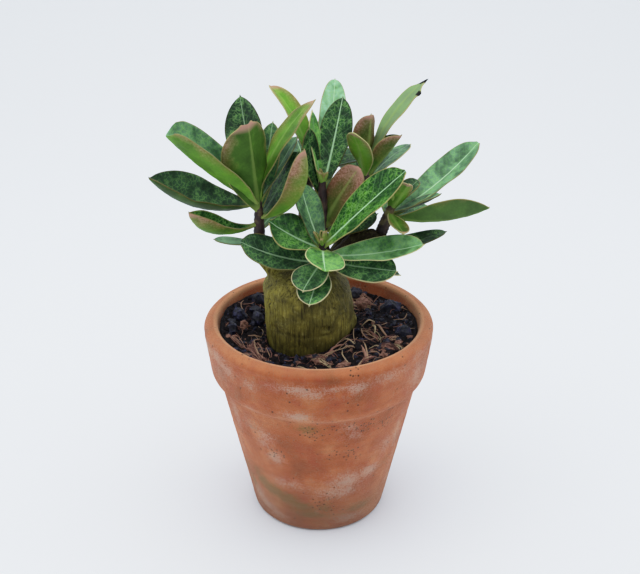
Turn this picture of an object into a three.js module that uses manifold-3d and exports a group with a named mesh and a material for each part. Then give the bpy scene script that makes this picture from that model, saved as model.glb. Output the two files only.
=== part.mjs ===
// A desert rose in a clay pot: a thick olive trunk with six leafy shoots, in gritty soil with charcoal.
// Millimetres, +Z up. The origin is the middle of the pot's foot, on the surface that it stands on.
import * as THREE from "three";
import { mergeVertices } from "three/addons/utils/BufferGeometryUtils.js";
import Module from "manifold-3d";

const wasm = await Module();
wasm.setup();

// What touches keeps this gap.
const gap = 0.3;

// The thrown clay pot: a tapered body with a thick band round its mouth.
const potHeight = 121;
const rimRadius = 65;
const mouthRadius = 57;
const bandHeight = 31;
const bandFootRadius = 61.3;
const neckRadius = 57.4;
const footRadius = 39.5;
const footEdge = 2.5;
const floorThickness = 9;
const floorRadius = 33;
const drainRadius = 8;
const potSides = 48;

// The soil and what lies in it.
const soilLevel = 108;
const soilRelief = 1.3;
const soilHeap = 8;
const soilWallRise = 4;
const soilSides = 36;

// The trunk: its rings' height, its middle's x, and its radius.
const trunkSides = 28;
const trunkRings = [
  [52, -4, 8],
  [62, -4, 15],
  [78, -4, 20.5],
  [94, -4.5, 23.5],
  [108, -5, 24.3],
  [117, -5, 24.9],
  [123, -5, 24.9],
  [130, -5, 24.9],
  [141, -6.5, 24.1],
  [148.5, -7.5, 19],
  [153, -7.5, 12],
  [155, -7, 6],
];

// Leaves: thickness at the root and in the blade, and the stations along and across a blade.
const rootThickness = 2.2;
const bladeThickness = 1.1;
const rootHalfWidth = 1.4;
const tipHalfWidth = 0.5;
const widestAt = 0.64;
const leafStations = [0, 0.13, 0.32, 0.52, 0.72, 0.9, 1];
const leafLanes = [-1, -0.5, 0, 0.5, 1];

// The branches from the trunk's shoulder, each with the leafy shoot at its end. A leaf is: the height of its
// root above the shoot's foot, its heading seen from above (0 is +X, 90 the back), its rise above level, its
// length and width, the fold at its rib, the cupping of each half, the arch along it (+ droops, - curls up),
// its roll, how pointed it is, and how blunt its end is as a share of its width.
const shoots = [
  {
    name: "shoot_left",
    branch: [[-20, 0, 143], [-26, 0, 151], [-32, -2, 163]],
    top: [-32, -3, 192],
    leaves: [
      [27, 200, 42, 63, 33, 28, 38, -16, -14, 0.3, 0.72],
      [28, 180, 13, 64.6, 32, 29, 40, -88, -15, 0.57, 0],
      [16, 221, 21, 53, 20, 35, 53, -95, -22, 0.78, 0],
      [3, 172, 3, 25, 7, 6, 17, -5, -13, 0.5, 0],
      [25, 108, 57, 61, 23, 15, 24, -1, -30, 0.76, 0],
      [21, 260, 72, 57, 32, 17, 20, -2, 49, 0.58, 0.31],
      [29, 27, 56, 61, 19, 4, 6, 40, -5, 0.8, 0],
      [27, 47, 45, 42, 13, 15, 16, -3, -8, 0.56, 0],
      [17, 27, 55, 42, 16, 0, 5, -7, 3, 0.34, 0],
      [19, 322, 54, 60, 20, 42, 25, -90, 16, 0.5, 0],
      [20, 70, 64, 50, 14, 6, 12, -7, 6, 0.6, 0],
      [11, 65, 5, 40, 18, 15, 20, 20, 0, 0.5, 0],
    ],
  },
  {
    name: "shoot_front",
    branch: [[-1, -6, 142], [1, -11, 149], [2, -13, 153]],
    top: [2, -14, 172],
    leaves: [
      [16, 0, 45, 60, 27, 4, 19, 5, 19, 0.51, 0.17],
      [11, -2, 8, 54, 20, 5, 35, -23, 19, 0.5, 0],
      [15, 273, -3, 24, 22, 0, 29, -9, -15, 0.25, 0.31],
      [15, 173, 27, 32, 23, 10, 19, -32, -35, 0.74, 0.16],
      [14, 124, 56, 38, 18, 15, 10, -19, 7, 0.5, 0],
      [8, -12, -3, 40, 20, 5, 20, -10, 35, 0.5, 0],
      [5, 2, -8, 42, 12, 10, 10, 10, 0, 0.5, 0],
      [7, 16, 8, 71, 15, 6, 17, -14, 5, 0.5, 0],
      [7, 184, 17, 46, 20, 6, 13, -46, -34, 0.41, 0.31],
      [7, 247, -12, 26, 20, 5, 15, 20, 0, 0.5, 0],
      [3, 256, -15, 29, 18, 5, 15, 20, 0, 0.5, 0],
    ],
  },
  {
    name: "shoot_middle",
    branch: [[0, 2, 146], [2, 4, 158], [2, 5, 170]],
    top: [2, 8, 199],
    leaves: [
      [23, 68, 56, 53, 18, 4, 11, -15, 8, 0.63, 0],
      [18, 135, 75, 40, 15, 4, 6, -36, 7, 0.67, 0],
      [18, 82, 46, 74, 16, 9, 14, 16, 18, 0.5, 0],
      [3, 1, 60, 39, 19, 4, 6, 16, 48, 0.32, 0.24],
      [23, 105, 61, 44, 12, 6, 12, -13, 43, 0.8, 0],
      [2, 3, 15, 31, 19, 4, 8, -30, 20, 0.41, 0],
    ],
  },
  {
    name: "shoot_right",
    branch: [[4, 2, 146], [14, 2, 161], [25, 2, 171], [34, 1, 172]],
    top: [40, 0, 190],
    leaves: [
      [9, 26, 31, 66, 21, 14, 19, -29, 9, 0.45, 0.2],
      [10, -10, 9, 55, 26, 28, 31, -38, -28, 0.83, 0],
      [12, 3, 20, 29, 11, 10, 15, -20, -6, 0.5, 0],
      [12, 322, 58, 22, 13, 20, 20, 0, -40, 0.5, 0],
      [12, 288, -11, 21, 12, 10, 15, -12, -16, 0.5, 0],
      [16, 36, 30, 21, 11, 20, 20, 10, 20, 0.5, 0],
      [9, 85, 10, 46, 17, 15, 20, 15, 0, 0.5, 0],
      [5, 45, -5, 42, 17, 15, 20, 20, 0, 0.5, 0],
    ],
  },
  {
    name: "shoot_back_right",
    branch: [[1, 8, 144], [15, 17, 160], [23, 21, 182]],
    top: [27, 24, 202],
    leaves: [
      [20, 26, 51, 58, 12.5, 4, 6, 42, 4, 0.66, 0],
      [16, 301, 84, 34, 18, 22, 24, 3, 4, 0.51, 0],
      [13, 0, 52, 31, 18, 42, 34, -4, -11, 0.77, 0],
      [13, 246, 60, 36, 16, 0, 5, 24, -14, 0.64, 0],
      [7, 33, 32, 38, 14, 2, 10, 30, -5, 0.52, 0],
      [12, 75, 12, 40, 19, 15, 20, 15, 0, 0.5, 0],
      [8, 115, 12, 42, 19, 15, 20, 20, 0, 0.5, 0],
    ],
  },
  {
    name: "shoot_back_left",
    branch: [[-8, 8, 144], [-9, 18, 160], [-7, 22, 182]],
    top: [-5, 24, 204],
    leaves: [
      [19, 136, 53, 51, 19, 12, 13, 43, 15, 0.5, 0],
      [13, 100, 12, 41, 19, 15, 20, 15, 0, 0.5, 0],
      [9, 160, 8, 44, 18, 15, 20, 20, 0, 0.5, 0],
      [16, 70, 25, 42, 17, 15, 20, 15, 0, 0.5, 0],
      [14, 12, 14, 30, 16, 10, 15, 10, 0, 0.5, 0],
    ],
  },
];

const branchRadius = 3.4;
const branchSides = 8;
const shootRadius = 3.3;

// Lumps half sunk in the soil: middle, size along each axis, turn about the upright, and the seed of its shape.
const chunkRoughness = 0.35;
const chunkGap = 0.45;
const chunks = [
  { name: "charcoal_right_back", at: [42, 20, 114.5], size: [15, 12, 13], turn: 20, seed: 3 },
  { name: "charcoal_right", at: [47, -11, 116.5], size: [9, 11, 9], turn: 80, seed: 8 },
  { name: "charcoal_left", at: [-46.5, 13.5, 114], size: [10, 10, 11], turn: 40, seed: 5 },
  { name: "charcoal_left_front", at: [-49, -4, 115], size: [7, 10, 8], turn: 5, seed: 13 },
  { name: "charcoal_left_back", at: [-36.5, 34, 113.5], size: [13, 10, 12], turn: 10, seed: 11 },
  { name: "charcoal_left_middle", at: [-35.5, 14, 111], size: [9, 10, 11], turn: 35, seed: 17 },
  { name: "charcoal_back", at: [-8, 46, 112], size: [12, 9, 9], turn: 60, seed: 23 },
  { name: "charcoal_back_middle", at: [22, 45, 112.5], size: [9, 10, 8], turn: 15, seed: 29 },
  { name: "husk_left", at: [-42.5, 3.5, 112], size: [5.5, 6.5, 11], turn: 165, seed: 31 },
  { name: "husk_back", at: [26.5, 31.5, 112.5], size: [12, 11, 8], turn: 50, seed: 37 },
  { name: "husk_right_front", at: [34.5, -36.5, 116.5], size: [7, 4, 4], turn: 25, seed: 41 },
  { name: "bark_chip_front", at: [13, -42, 113.5], size: [9, 4.5, 4], turn: 10, seed: 43 },
];

const clay = new THREE.MeshStandardMaterial({ color: 0xb5673f, roughness: 0.9, metalness: 0 });
const earth = new THREE.MeshStandardMaterial({ color: 0x2b211c, roughness: 1, metalness: 0 });
const bark = new THREE.MeshStandardMaterial({ color: 0x6a6b33, roughness: 0.75, metalness: 0 });
const charcoal = new THREE.MeshStandardMaterial({ color: 0x1d1d26, roughness: 0.8, metalness: 0 });
const husk = new THREE.MeshStandardMaterial({ color: 0x7d5245, roughness: 1, metalness: 0 });
const leafGreen = new THREE.MeshStandardMaterial({ color: 0x2f6b2e, roughness: 0.4, metalness: 0 });

const plant = new THREE.Group();

function addMesh(name, geometry, material) {
  const mesh = new THREE.Mesh(geometry, material);
  mesh.name = name;
  plant.add(mesh);
}

function toSolid(geometry) {
  const bare = geometry.clone();
  bare.deleteAttribute("normal");
  bare.deleteAttribute("uv");
  const merged = mergeVertices(bare, 1e-4);
  return new wasm.Manifold(new wasm.Mesh({
    numProp: 3,
    vertProperties: new Float32Array(merged.attributes.position.array),
    triVerts: new Uint32Array(merged.index.array),
  }));
}

function toGeometry(solid) {
  const mesh = solid.getMesh();
  const geometry = new THREE.BufferGeometry();
  geometry.setAttribute("position", new THREE.BufferAttribute(mesh.vertProperties, 3));
  geometry.setIndex(new THREE.BufferAttribute(mesh.triVerts, 1));
  geometry.computeVertexNormals();
  return geometry;
}

function fromPoints(points, triangles) {
  const geometry = new THREE.BufferGeometry();
  geometry.setAttribute("position", new THREE.Float32BufferAttribute(points.flatMap((p) => [p.x, p.y, p.z]), 3));
  geometry.setIndex(triangles);
  geometry.computeVertexNormals();
  return geometry;
}

// A closed body through a row of rings with the same number of points each, anticlockwise seen from its end.
function skin(rings) {
  const sides = rings[0].length;
  const points = rings.flat();
  const triangles = [];
  for (let i = 0; i < rings.length - 1; i++) {
    for (let j = 0; j < sides; j++) {
      const here = i * sides + j;
      const next = i * sides + (j + 1) % sides;
      triangles.push(here, next, next + sides);
      triangles.push(here, next + sides, here + sides);
    }
  }
  const last = (rings.length - 1) * sides;
  for (let j = 1; j < sides - 1; j++) {
    triangles.push(0, j + 1, j);
    triangles.push(last, last + j, last + j + 1);
  }
  return fromPoints(points, triangles);
}

// A closed slab between two grids of points with the same layout, split alike on both faces.
function slab(top, bottom) {
  const rows = top.length;
  const lanes = top[0].length;
  const points = [...top.flat(), ...bottom.flat()];
  const under = rows * lanes;
  const triangles = [];
  for (let i = 0; i < rows - 1; i++) {
    for (let j = 0; j < lanes - 1; j++) {
      const a = i * lanes + j;
      const b = a + 1;
      const c = a + lanes;
      const d = c + 1;
      triangles.push(a, d, c, a, b, d);
      triangles.push(under + a, under + c, under + d, under + a, under + d, under + b);
    }
  }
  const edge = [];
  for (let j = 0; j < lanes; j++) edge.push(j);
  for (let i = 1; i < rows; i++) edge.push(i * lanes + lanes - 1);
  for (let j = lanes - 2; j >= 0; j--) edge.push((rows - 1) * lanes + j);
  for (let i = rows - 2; i > 0; i--) edge.push(i * lanes);
  edge.forEach((here, k) => {
    const next = edge[(k + 1) % edge.length];
    triangles.push(here, under + next, next, here, under + here, under + next);
  });
  return fromPoints(points, triangles);
}

// A tube of rings along a curve, from one radius to another.
function tube(curve, steps, sides, radiusAt) {
  const rings = [];
  const up = new THREE.Vector3(0, 1, 0);
  for (let i = 0; i <= steps; i++) {
    const t = i / steps;
    const middle = curve.getPoint(t);
    const along = curve.getTangent(t);
    const across = new THREE.Vector3().crossVectors(up, along).normalize();
    const over = new THREE.Vector3().crossVectors(along, across);
    const ring = [];
    for (let j = 0; j < sides; j++) {
      const angle = (2 * Math.PI * j) / sides;
      ring.push(middle.clone()
        .addScaledVector(across, radiusAt(t) * Math.cos(angle))
        .addScaledVector(over, radiusAt(t) * Math.sin(angle)));
    }
    rings.push(ring);
  }
  return skin(rings);
}

// Half the blade's width at t along it: a narrow root, widest past the middle, and a pointed or blunt end.
function halfWidth(t, width, taper, blunt) {
  const swell = (taper * widestAt) / (1 - widestAt);
  const shape = (t ** swell) * ((1 - t) ** taper);
  const most = (widestAt ** swell) * ((1 - widestAt) ** taper);
  const least = rootHalfWidth + (tipHalfWidth + (blunt * width) / 2 - rootHalfWidth) * t;
  return Math.max(least, (width / 2) * (shape / most));
}

function leafGeometry(root, [, heading, rise, length, width, fold, cup, arch, roll, taper, blunt]) {
  const rad = THREE.MathUtils.degToRad;
  const along = new THREE.Vector3(
    Math.cos(rad(rise)) * Math.cos(rad(heading)),
    Math.cos(rad(rise)) * Math.sin(rad(heading)),
    Math.sin(rad(rise)),
  );
  const level = new THREE.Vector3(Math.sin(rad(heading)), -Math.cos(rad(heading)), 0);
  const side = level.applyAxisAngle(along, rad(roll));
  const upper = new THREE.Vector3().crossVectors(side, along);
  const bend = rad(arch) || 1e-3;
  const top = [];
  const bottom = [];
  for (const t of leafStations) {
    const turn = bend * (0.5 - t);
    const middle = root.clone()
      .addScaledVector(along, (length * (Math.sin(bend / 2) - Math.sin(turn))) / bend)
      .addScaledVector(upper, (length * (Math.cos(turn) - Math.cos(bend / 2))) / bend);
    const normal = upper.clone().multiplyScalar(Math.cos(turn)).addScaledVector(along, -Math.sin(turn));
    const half = halfWidth(t, width, taper, blunt);
    const thickness = t === 0 ? rootThickness : bladeThickness;
    const topRow = [];
    const bottomRow = [];
    for (const lane of leafLanes) {
      const out = Math.abs(lane);
      const slope = rad(fold + (cup * out) / 2) * Math.min(1, 0.4 + 3 * t);
      const tilt = rad(fold + cup * out) * Math.min(1, 0.4 + 3 * t);
      const point = middle.clone()
        .addScaledVector(side, half * lane * Math.cos(slope))
        .addScaledVector(normal, half * out * Math.sin(slope));
      const face = normal.clone().multiplyScalar(Math.cos(tilt))
        .addScaledVector(side, -Math.sign(lane) * Math.sin(tilt));
      topRow.push(point.clone().addScaledVector(face, thickness / 2));
      bottomRow.push(point.clone().addScaledVector(face, -thickness / 2));
    }
    top.push(topRow);
    bottom.push(bottomRow);
  }
  return slab(top, bottom);
}

function shootSolid(shoot) {
  const foot = new THREE.Vector3(...shoot.branch.at(-1));
  const top = new THREE.Vector3(...shoot.top);
  const along = top.clone().sub(foot).normalize();
  const axis = new THREE.LineCurve3(foot.clone().addScaledVector(along, gap), top);
  let solid = toSolid(tube(axis, 3, branchSides, (t) => shootRadius * (1 - 0.5 * t * t)));
  for (const leaf of shoot.leaves) {
    const root = foot.clone().addScaledVector(along, leaf[0]);
    solid = solid.add(toSolid(leafGeometry(root, leaf)));
  }
  return solid;
}

// The trunk, a little lumpy, grown by `extra` where the soil is shaped round it.
function trunkSolid(extra) {
  const rings = trunkRings.map(([height, middle, radius]) => {
    const ring = [];
    for (let j = 0; j < trunkSides; j++) {
      const angle = (2 * Math.PI * j) / trunkSides;
      const lumps = 1 + 0.012 * Math.sin(3 * angle + height / 30) + 0.01 * Math.sin(5 * angle - height / 18);
      const flare = 2.8 * Math.exp(-(((angle - 0.2) / 0.35) ** 2) - ((height - 116) / 6) ** 2);
      const reach = radius * lumps + flare + extra;
      ring.push(new THREE.Vector3(middle + reach * Math.cos(angle), reach * Math.sin(angle), height));
    }
    return ring;
  });
  rings[0].forEach((point) => { point.z -= extra; });
  return toSolid(skin(rings));
}

function plantTrunk() {
  let solid = trunkSolid(0);
  for (const shoot of shoots) {
    const points = shoot.branch.map((p) => new THREE.Vector3(...p));
    const foot = points.at(-1);
    const along = new THREE.Vector3(...shoot.top).sub(foot).normalize();
    points.splice(-1, 0, foot.clone().addScaledVector(along, -3));
    const curve = new THREE.CatmullRomCurve3(points);
    solid = solid.add(toSolid(tube(curve, 5, branchSides, (t) => branchRadius + 2 * (1 - t) ** 2)));
  }
  return solid;
}

function potGeometry() {
  const bandFoot = potHeight - bandHeight;
  const profile = [
    [drainRadius, 0],
    [footRadius - footEdge, 0],
    [footRadius, footEdge],
    [neckRadius, bandFoot - 2],
    [neckRadius + 1, bandFoot - 0.6],
    [bandFootRadius - 1, bandFoot],
    [bandFootRadius, bandFoot + 1.2],
    [rimRadius - 0.3, potHeight - 5],
    [rimRadius, potHeight - 3],
    [rimRadius - 0.8, potHeight - 0.9],
    [rimRadius - 2.6, potHeight],
    [mouthRadius + 1.6, potHeight],
    [mouthRadius + 0.4, potHeight - 0.6],
    [mouthRadius, potHeight - 2],
    [floorRadius + 1.5, floorThickness + 3],
    [floorRadius - 2, floorThickness],
    [drainRadius, floorThickness],
    [drainRadius, 0],
  ];
  const lathe = new THREE.LatheGeometry(profile.map(([r, z]) => new THREE.Vector2(r, z)), potSides);
  return lathe.rotateX(Math.PI / 2);
}

// The same random numbers on every run.
function randomFrom(seed) {
  let state = seed;
  return () => {
    state = (state * 1664525 + 1013904223) % 4294967296;
    return state / 4294967296;
  };
}

// A broken chunk, wider or longer by `extra` where the soil is pressed round it.
function chunkSolid({ at, size, turn, seed }, extra) {
  const random = randomFrom(seed);
  const geometry = new THREE.IcosahedronGeometry(1, 0);
  const bare = mergeVertices(geometry.deleteAttribute("normal").deleteAttribute("uv"));
  const spots = bare.attributes.position;
  for (let i = 0; i < spots.count; i++) {
    const reach = 1 + chunkRoughness * (random() - 0.5);
    spots.setXYZ(i, spots.getX(i) * reach, spots.getY(i) * reach, spots.getZ(i) * reach);
  }
  bare.scale(...size.map((across) => across / 2 + extra));
  bare.rotateX(0.5 * (random() - 0.5)).rotateZ(THREE.MathUtils.degToRad(turn));
  bare.translate(...at);
  return toSolid(bare);
}

function mouthAt(height) {
  const rise = (height - floorThickness - 3) / (potHeight - 2 - floorThickness - 3);
  return floorRadius + 1.5 + (mouthRadius - floorRadius - 1.5) * rise;
}

// The soil fills the pot, with plain holes for the trunk and the chunks.
function soilSolid() {
  const bottom = floorThickness + gap;
  const wallTop = (angle) => soilTop(54 * Math.cos(angle), 54 * Math.sin(angle)) - 2;
  const edge = (angle) => mouthAt(wallTop(angle)) - 1.2 * gap;
  const rings = [
    soilRing(() => floorRadius - 2 - gap, () => bottom),
    soilRing(() => floorRadius + 1 - gap, () => bottom + 3),
    soilRing(edge, (x, y) => wallTop(Math.atan2(y, x))),
    soilRing((angle) => edge(angle) - 3, soilTop),
  ];
  for (const radius of [45, 37, 29, 15]) rings.push(soilRing(() => radius, soilTop));
  let solid = toSolid(skin(rings)).subtract(trunkSolid(gap));
  for (const chunk of chunks) solid = solid.subtract(chunkSolid(chunk, chunkGap));
  return solid;
}

// The soil's top: heaped at the right of the trunk, risen towards the wall, most at the left, and uneven.
function soilTop(x, y) {
  const waves = Math.sin(x / 5 + 1.3) * Math.cos(y / 6) + 0.6 * Math.sin(x / 2.7 - y / 3.4);
  const reach = Math.hypot(x, y);
  const heap = soilHeap * Math.exp(-(Math.abs(Math.atan2(y, x + 5) + 0.3) ** 4));
  const steep = soilWallRise + 2 * (x / reach) ** 2 + 3 * Math.max(0, -x / reach);
  const bank = steep * (Math.max(0, reach - 30) / 25) ** 1.6;
  return soilLevel + soilRelief * waves * 0.6 + (heap ** 4 + bank ** 4) ** 0.25;
}

function soilRing(radiusAt, heightAt) {
  const ring = [];
  for (let j = 0; j < soilSides; j++) {
    const angle = (2 * Math.PI * j) / soilSides;
    const x = radiusAt(angle) * Math.cos(angle);
    const y = radiusAt(angle) * Math.sin(angle);
    ring.push(new THREE.Vector3(x, y, heightAt(x, y)));
  }
  return ring;
}

addMesh("pot", toGeometry(toSolid(potGeometry())), clay);
addMesh("soil", toGeometry(soilSolid()), earth);
addMesh("trunk", toGeometry(plantTrunk()), bark);
for (const chunk of chunks) {
  addMesh(chunk.name, toGeometry(chunkSolid(chunk, 0)), chunk.name.startsWith("charcoal") ? charcoal : husk);
}
for (const shoot of shoots) {
  addMesh(shoot.name, toGeometry(shootSolid(shoot)), leafGreen);
}

export default plant;
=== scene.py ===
import math
import random

import bmesh
import bpy
import numpy as np
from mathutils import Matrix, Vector, noise


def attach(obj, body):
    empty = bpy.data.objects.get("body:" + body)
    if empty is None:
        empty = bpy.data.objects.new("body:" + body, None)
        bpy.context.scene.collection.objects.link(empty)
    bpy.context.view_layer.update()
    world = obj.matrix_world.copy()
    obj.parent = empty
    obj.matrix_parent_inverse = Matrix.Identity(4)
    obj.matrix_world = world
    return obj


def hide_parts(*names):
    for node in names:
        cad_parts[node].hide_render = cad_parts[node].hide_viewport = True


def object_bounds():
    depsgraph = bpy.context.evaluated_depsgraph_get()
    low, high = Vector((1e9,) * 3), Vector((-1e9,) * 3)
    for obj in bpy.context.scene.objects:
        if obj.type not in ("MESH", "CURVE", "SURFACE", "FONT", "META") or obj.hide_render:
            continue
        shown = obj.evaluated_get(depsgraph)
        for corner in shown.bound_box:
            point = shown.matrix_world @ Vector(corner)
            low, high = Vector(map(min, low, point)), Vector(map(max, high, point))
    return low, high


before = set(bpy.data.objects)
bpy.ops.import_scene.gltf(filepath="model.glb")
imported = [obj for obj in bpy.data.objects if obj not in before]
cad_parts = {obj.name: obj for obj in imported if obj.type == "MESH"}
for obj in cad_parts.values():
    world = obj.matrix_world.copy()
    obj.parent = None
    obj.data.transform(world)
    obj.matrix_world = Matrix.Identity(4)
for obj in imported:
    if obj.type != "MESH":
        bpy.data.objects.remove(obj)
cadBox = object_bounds()
mm = 0.001


def hexPaint(text):
    # sRGB hex to Blender's linear colour
    parts = [int(text[k:k + 2], 16) / 255 for k in (1, 3, 5)]
    return (*[v / 12.92 if v <= 0.04045 else ((v + 0.055) / 1.055) ** 2.4 for v in parts], 1)


def outOf(source):
    # an output as it is, or the one that a node gives with its settings
    if isinstance(source, bpy.types.NodeSocket):
        return source
    return next(output for output in source.outputs if output.enabled)


def addNode(tree, kind, settings):
    # settings: attributes by name, then inputs by name or number, which take a value, a hex colour or a link
    node = tree.nodes.new("ShaderNode" + kind)
    for name, value in settings.items():
        if name == "stops":
            ramp = node.color_ramp
            while len(ramp.elements) < len(value):
                ramp.elements.new(0.5)
            for stop, (place, colour) in zip(ramp.elements, value):
                stop.position, stop.color = place, hexPaint(colour)
        elif isinstance(name, str) and hasattr(node, name):
            setattr(node, name, value)
        elif isinstance(value, (bpy.types.Node, bpy.types.NodeSocket)):
            tree.links.new(outOf(value), node.inputs[name])
        else:
            node.inputs[name].default_value = hexPaint(value) if isinstance(value, str) else value
    return node


def weightedSum(tree, terms, total):
    # total and each value times its weight
    for value, weight in terms:
        total = addNode(tree, "Math", {"operation": "MULTIPLY_ADD", 0: value, 1: weight, 2: total})
    return total


def layPaint(tree, colour, layers):
    # a layer: what it follows, that from and to, its strength there from and to, its paint, what else thins it
    for follows, low, high, start, end, paint, *thinner in layers:
        part = addNode(tree, "MapRange", {0: follows, 1: low, 2: high, 3: start, 4: end})
        for thin in thinner:
            part = addNode(tree, "Math", {"operation": "MULTIPLY", 0: part, 1: thin})
        colour = addNode(tree, "Mix", {"data_type": "RGBA", 0: part, 6: colour, 7: paint})
    return colour


def pointMarks(tree, name):
    # a named vector on the points, whole and as its three numbers
    vector = addNode(tree, "Attribute", {"attribute_name": name}).outputs["Vector"]
    return vector, addNode(tree, "SeparateXYZ", {0: vector}).outputs


def newMaterial(name, settings):
    material = bpy.data.materials.new(name)
    material.use_nodes = True
    tree = material.node_tree
    for key, value in settings.items():
        tree.nodes["Principled BSDF"].inputs[key].default_value = hexPaint(value) if isinstance(value, str) else value
    return material, tree, addNode(tree, "TexCoord", {}).outputs["Object"]


def surface(tree, colour, height, strength, deep):
    # the colour, and a relief of so many millimetres
    shader = tree.nodes["Principled BSDF"]
    relief = addNode(tree, "Bump", {"Strength": strength, "Distance": deep * mm, "Height": height})
    for source, name in ((colour, "Base Color"), (relief, "Normal")):
        tree.links.new(outOf(source), shader.inputs[name])


def newObject(name, data):
    item = bpy.data.objects.new(name, data)
    bpy.context.collection.objects.link(item)
    return item


def newMesh(name, points, faces, materials, smooth):
    mesh = bpy.data.meshes.new(name)
    mesh.from_pydata([tuple(p) for p in points], [], faces)
    for material in materials:
        mesh.materials.append(material)
    mesh.polygons.foreach_set("use_smooth", np.full(len(mesh.polygons), smooth))
    return mesh


def keepPiece(name, points, faces, materials, replaced=(), marks=None, picks=None, smooth=True):
    # points in millimetres; marks are named vectors on the points; picks are the faces' materials
    mesh = newMesh(name, np.clip(np.asarray(points) * mm, *cadBox), faces, materials, smooth)
    if picks is not None:
        mesh.polygons.foreach_set("material_index", np.asarray(picks, np.int32))
    for label, values in (marks or {}).items():
        layer = mesh.attributes.new(label, "FLOAT_VECTOR", "POINT")
        layer.data.foreach_set("vector", np.asarray(values, np.float32).ravel())
    mesh.validate()
    mesh.update()
    piece = newObject(name, mesh)
    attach(piece, "root")
    if replaced:
        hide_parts(*replaced)
    return piece


# camera: the photograph looks 26 degrees down from half a metre in front of the pot
cameraSetup = {"place": (0.0007, -0.5, 0.383), "tilt": 64, "lens": 56.25, "sensor": 36}
cameraData = bpy.data.cameras.new("camera")
cameraData.lens = cameraSetup["lens"]
cameraData.sensor_width = cameraSetup["sensor"]
camera = newObject("camera", cameraData)
camera.location = cameraSetup["place"]
camera.rotation_euler = (math.radians(cameraSetup["tilt"]), 0, 0)
bpy.context.scene.camera = camera

# plain display colours, with highlights eased off as in the photograph, where the white floor keeps its tone
displayCurve = ((0.25, 0.25), (0.5, 0.49), (0.8, 0.695), (1.2, 0.84), (2, 0.945), (3, 1))
display = bpy.context.scene.view_settings
display.view_transform = "Standard"
display.use_curve_mapping = True
easing = display.curve_mapping
easing.clip_max_x = displayCurve[-1][0]
easing.extend = "EXTRAPOLATED"
allColours = easing.curves[3]
allColours.points[1].location = displayCurve[-1]
for shine, shown in displayCurve[:-1]:
    allColours.points.new(shine, shown)
easing.update()

# studio: pale paper that sweeps up behind, in a light tent that is bright overhead and at the sides
studio = {"paper": "#ecf1f7", "sweepFront": -1.6, "sweepStart": 0.5, "sweepRound": 0.4, "sweepTop": 1.8,
          "sweepSide": 1.8, "sweepSteps": 16, "boxPower": 7.0, "boxSize": (1.6, 1.1), "boxPlace": (-0.1, 0.05, 1.2),
          "boxAim": (0, 0, 0.12), "boxColour": (1.0, 0.99, 0.97), "tent": "#f4f8fe", "base": 0.6, "sides": 1.2,
          "above": 0.8, "behind": 0.35}

paper, _, _ = newMaterial("mattSweepPaper", {
    "Base Color": studio["paper"], "Roughness": 0.95, "Specular IOR Level": 0.1})
profile = [(studio["sweepFront"], 0), (0, 0), (studio["sweepStart"], 0)]
for step in range(1, studio["sweepSteps"] + 1):
    angle = step / studio["sweepSteps"] * math.pi / 2
    profile.append((studio["sweepStart"] + studio["sweepRound"] * math.sin(angle),
                    studio["sweepRound"] * (1 - math.cos(angle))))
profile.append((studio["sweepStart"] + studio["sweepRound"], studio["sweepTop"]))
sweepPoints = [(x, y, z) for y, z in profile for x in (-studio["sweepSide"], studio["sweepSide"])]
sweepFaces = [(2 * i, 2 * i + 1, 2 * i + 3, 2 * i + 2) for i in range(len(profile) - 1)]
sweep = newObject("sweep", newMesh("sweep", sweepPoints, sweepFaces, [paper], True))

boxLight = bpy.data.lights.new("softBox", "AREA")
boxLight.shape = "RECTANGLE"
boxLight.size, boxLight.size_y = studio["boxSize"]
boxLight.energy, boxLight.color = studio["boxPower"], studio["boxColour"]
softBox = newObject("softBox", boxLight)
softBox.location = studio["boxPlace"]
softBox.rotation_euler = (Vector(studio["boxAim"]) - softBox.location).to_track_quat("-Z", "Y").to_euler()

room = bpy.data.worlds.new("lightTent")
room.use_nodes = True
tree = room.node_tree
lookUp = addNode(tree, "SeparateXYZ", {0: addNode(tree, "TexCoord", {}).outputs["Generated"]}).outputs
sideways, upwards = (addNode(tree, "Math", {"operation": "MULTIPLY", 0: lookUp[k], 1: lookUp[k]}) for k in (0, 2))
glow = weightedSum(tree, [(sideways, studio["sides"]), (upwards, studio["above"]), (lookUp[1], studio["behind"])],
                   studio["base"])
tree.nodes["Background"].inputs["Color"].default_value = hexPaint(studio["tent"])
tree.links.new(outOf(glow), tree.nodes["Background"].inputs["Strength"])
bpy.context.scene.world = room
print("stage done")


# shapes shared by the pieces
def loft(rings, closed=False):
    # rings of equal length, anticlockwise seen from the end that they run to, capped or joined end to end
    sides, count = len(rings[0]), len(rings)
    points = [p for ring in rings for p in ring]
    faces = []
    for i in range(count if closed else count - 1):
        a, b = i * sides, (i + 1) % count * sides
        faces += [(a + j, a + (j + 1) % sides, b + (j + 1) % sides, b + j) for j in range(sides)]
    if not closed:
        last, start, end = (count - 1) * sides, count * sides, count * sides + 1
        points += [np.mean(rings[0], axis=0), np.mean(rings[-1], axis=0)]
        faces += [(start, (j + 1) % sides, j) for j in range(sides)]
        faces += [(end, last + j, last + (j + 1) % sides) for j in range(sides)]
    return points, faces


def tubeRings(path, radii, sides):
    # rings square to a path of points
    path = np.asarray(path, float)
    along = np.gradient(path, axis=0)
    along /= np.linalg.norm(along, axis=1)[:, None]
    across = np.cross((0.31, 0.95, 0.05), along[0])
    rings = []
    for middle, forward, radius in zip(path, along, radii):
        across = across - forward * np.dot(across, forward)
        across /= np.linalg.norm(across)
        over = np.cross(forward, across)
        turns = np.linspace(0, 2 * math.pi, sides, endpoint=False)
        rings.append(middle + radius * (np.cos(turns)[:, None] * across + np.sin(turns)[:, None] * over))
    return rings


def addShape(points, faces, morePoints, moreFaces):
    first = len(points)
    points.extend(morePoints)
    faces.extend(tuple(first + k for k in face) for face in moreFaces)


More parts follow.
